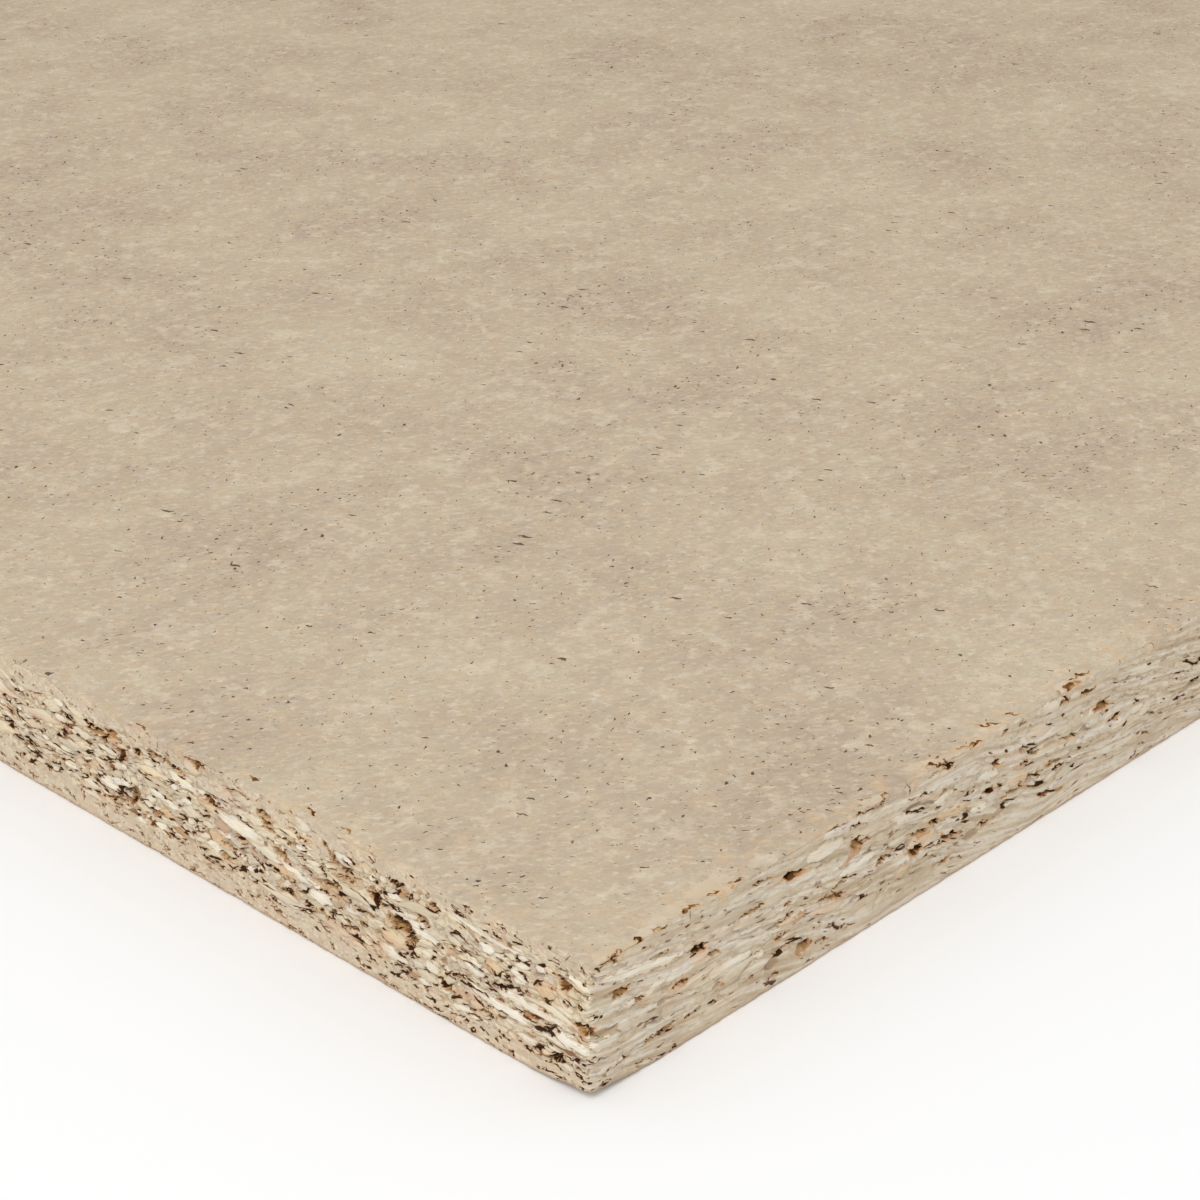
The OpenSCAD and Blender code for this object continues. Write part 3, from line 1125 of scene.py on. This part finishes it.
def rim_warmth(g, place, warm):
    """How much warmer the faces are towards their rims, less along the short sides."""
    inset_x, _, inset = insets(g, place)
    rim = g.mul(g.smooth(inset, 0.0, 7.0, 0.5, 0.0), g.smooth(warm, 0.44, 0.70))
    return g.mul(rim, g.mix(g.over(inset_x, inset), 0.4, 1.0))


def with_specks(g, colour, at, cloud):
    """Adds the dark specks, fewer of them in the lighter clouds."""
    for number, speck in enumerate(SPECKS):
        length = speck["length"]
        spot = flat_chips(g, at, speck["turn"], length, length * speck["flat"])
        share = g.math("POWER", g.parts(spot["Color"])[number % 3], speck["power"])
        share = g.mul(share, g.smooth(cloud, 0.40, 0.52, 1.1, 0.7))
        inner = g.sub(g.mul(share, speck["size"]), spot["Distance"])
        dark = g.smooth(g.mul(inner, length), 0.0, 0.06)
        colour = g.blend(g.mul(dark, 0.8), colour, SPECK)
    return colour


def sanded_face(g):
    """The colour of the sanded faces: fine particles, fibres, pale streaks and dark specks."""
    place = g.stretched(g.node("ShaderNodeTexCoord").outputs["Object"], MM, MM, MM)
    ripple = centred_noise(g, place, (0.8, 0.8, 0.8), 1.0)
    at = g.vector("ADD", place, g.vector("MULTIPLY", ripple, (1.0, 1.0, 0.0)))
    cloud = g.noise(place, (30, 26, 26), detail=4.0, roughness=0.65)
    patch = g.noise(at, (3.6, 3.6, 3.6), roughness=0.65, output="Color")
    warm, pale, grey = g.parts(patch)
    colour = face_particles(g, at, cloud, warm, pale, grey)
    colour = g.blend(rim_warmth(g, place, warm), colour, FACE_RIM)
    return with_specks(g, colour, at, cloud)


# ---- stage
# The floor, in metres: its reach, how far it goes in under the sheet, and further under the
# knocked corner, and how far below the sheet it lies so that the two don't coincide.
FLOOR_REACH = 12.0
FLOOR_UNDER = 0.008
FLOOR_UNDER_CORNER = 0.030
FLOOR_GAP = 0.00002
# The lighting: the light's place is in metres from the sheet's nearest corner.
SURROUNDING_STRENGTH = 0.75
KEY_PLACE = Vector((-1.0, -0.5, 1.5))
KEY_SIZE = 1.0
KEY_POWER = 15


def floor_material():
    material = bpy.data.materials.new("floor")
    material.use_nodes = True
    shader = material.node_tree.nodes["Principled BSDF"]
    shader.inputs["Base Color"].default_value = (0.93, 0.93, 0.93, 1.0)
    shader.inputs["Roughness"].default_value = 0.9
    shader.inputs["Specular IOR Level"].default_value = 0.1
    return material


def add_floor():
    """A large floor, open under the sheet, so that light reaches the underside in views of it."""
    size = FLOOR_REACH
    outer = [(-size, -size), (size, -size), (size, size), (-size, size)]
    low_x, high_x = LOW.x + FLOOR_UNDER, HIGH.x - FLOOR_UNDER
    low_y, high_y = LOW.y + FLOOR_UNDER, HIGH.y - FLOOR_UNDER
    cut_x, cut_y = LOW.x + FLOOR_UNDER_CORNER, LOW.y + FLOOR_UNDER_CORNER
    inner = [(cut_x, low_y), (high_x, low_y), (high_x, high_y), (low_x, high_y), (low_x, cut_y)]
    faces = [(0, 1, 5, 4), (1, 2, 6, 5), (2, 3, 7, 6), (3, 0, 8, 7), (0, 4, 8)]
    mesh = bpy.data.meshes.new("floor")
    mesh.from_pydata([(x, y, LOW.z - FLOOR_GAP) for x, y in outer + inner], [], faces)
    mesh.materials.append(floor_material())
    floor = linked("floor", mesh)


def add_lighting():
    """An even white surrounding, and one soft light from the left above the nearest corner."""
    world = bpy.data.worlds.new("studio")
    world.use_nodes = True
    background = world.node_tree.nodes["Background"]
    background.inputs["Color"].default_value = (1, 1, 1, 1)
    background.inputs["Strength"].default_value = SURROUNDING_STRENGTH
    bpy.context.scene.world = world
    light = bpy.data.lights.new("key", "AREA")
    light.shape = "DISK"
    light.size = KEY_SIZE
    light.energy = KEY_POWER
    key = linked("key", light)
    key.location = NEAR_CORNER + KEY_PLACE
    key.rotation_euler = (NEAR_CORNER - key.location).to_track_quat("-Z", "Y").to_euler()
    bpy.context.scene.view_settings.view_transform = "Standard"


def add_camera():
    data = bpy.data.cameras.new("camera")
    data.lens = LENS
    data.sensor_width = 36
    data.clip_start = 0.01
    camera = linked("camera", data)
    camera.location = NEAR_CORNER + EYE * MM
    way = (LOOK_AT - EYE).normalized()
    camera.rotation_euler = way.to_track_quat("-Z", "Y").to_euler()
    bpy.context.scene.camera = camera


sheet = linked("chipboard_relief", sheet_mesh())
for material in edge_materials():
    sheet.data.materials.append(material)
sheet.data.materials.append(face_material())
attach(sheet, "root")
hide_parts("chipboard_sheet")
add_floor()
add_lighting()
add_camera()
